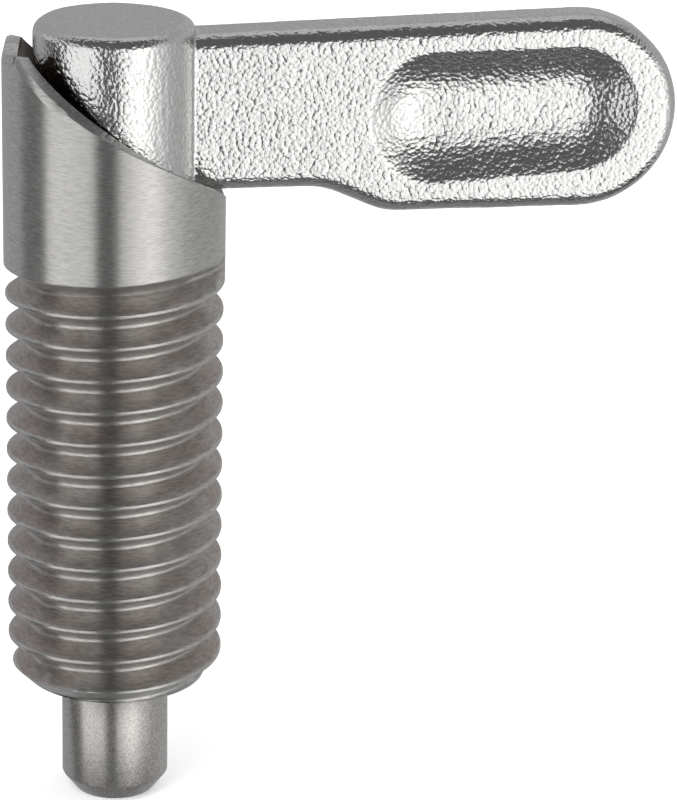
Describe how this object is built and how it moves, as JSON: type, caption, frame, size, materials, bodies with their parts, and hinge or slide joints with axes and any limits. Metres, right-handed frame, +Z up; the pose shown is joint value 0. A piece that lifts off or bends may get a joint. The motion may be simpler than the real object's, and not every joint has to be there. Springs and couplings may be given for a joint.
{
  "type": "locking bolt",
  "caption": "Cam-action locking bolt: threaded sleeve with a helical cam rim, spring-loaded pin and a flat cast lever that lifts the pin as it turns.",
  "frame": {"origin": "centre of the threaded sleeve's lower end face, on the sleeve's axis", "axes": "+Z up along the sleeve's axis towards the lever, +X along the lever with the pin fully out"},
  "size_m": [0.0305, 0.01, 0.037],
  "materials": {
    "turned_stainless": "fine turned, satin",
    "ground_stainless": "ground, bright satin",
    "cast_stainless": "investment cast, tumbled bright with a fine pebbled skin",
    "spring_stainless": "drawn wire"
  },
  "bodies": {
    "sleeve": {"threaded_sleeve": "turned_stainless", "guide_bush": "turned_stainless"},
    "spring_end": {"spring": "spring_stainless"},
    "lever_and_pin": {"plunger_pin": "ground_stainless", "lever": "cast_stainless", "cross_pin": "ground_stainless"}
  },
  "joints": [
    {"name": "plunger_lift", "type": "slide", "parent": "sleeve", "child": "spring_end", "axis": [0, 0, 1], "range_m": [0, 0.00848], "stiffness_N_per_m": 1200, "springref_m": -0.004, "deforming": ["spring"]},
    {"name": "lever_turn", "type": "hinge", "parent": "spring_end", "child": "lever_and_pin", "pos_m": [0, 0, 0.025], "axis": [0, 0, 1], "range_deg": [0, 180]}
  ],
  "couplings": [
    {"joint": "lever_turn", "follows": "plunger_lift", "rad_per_m": 370.37}
  ]
}
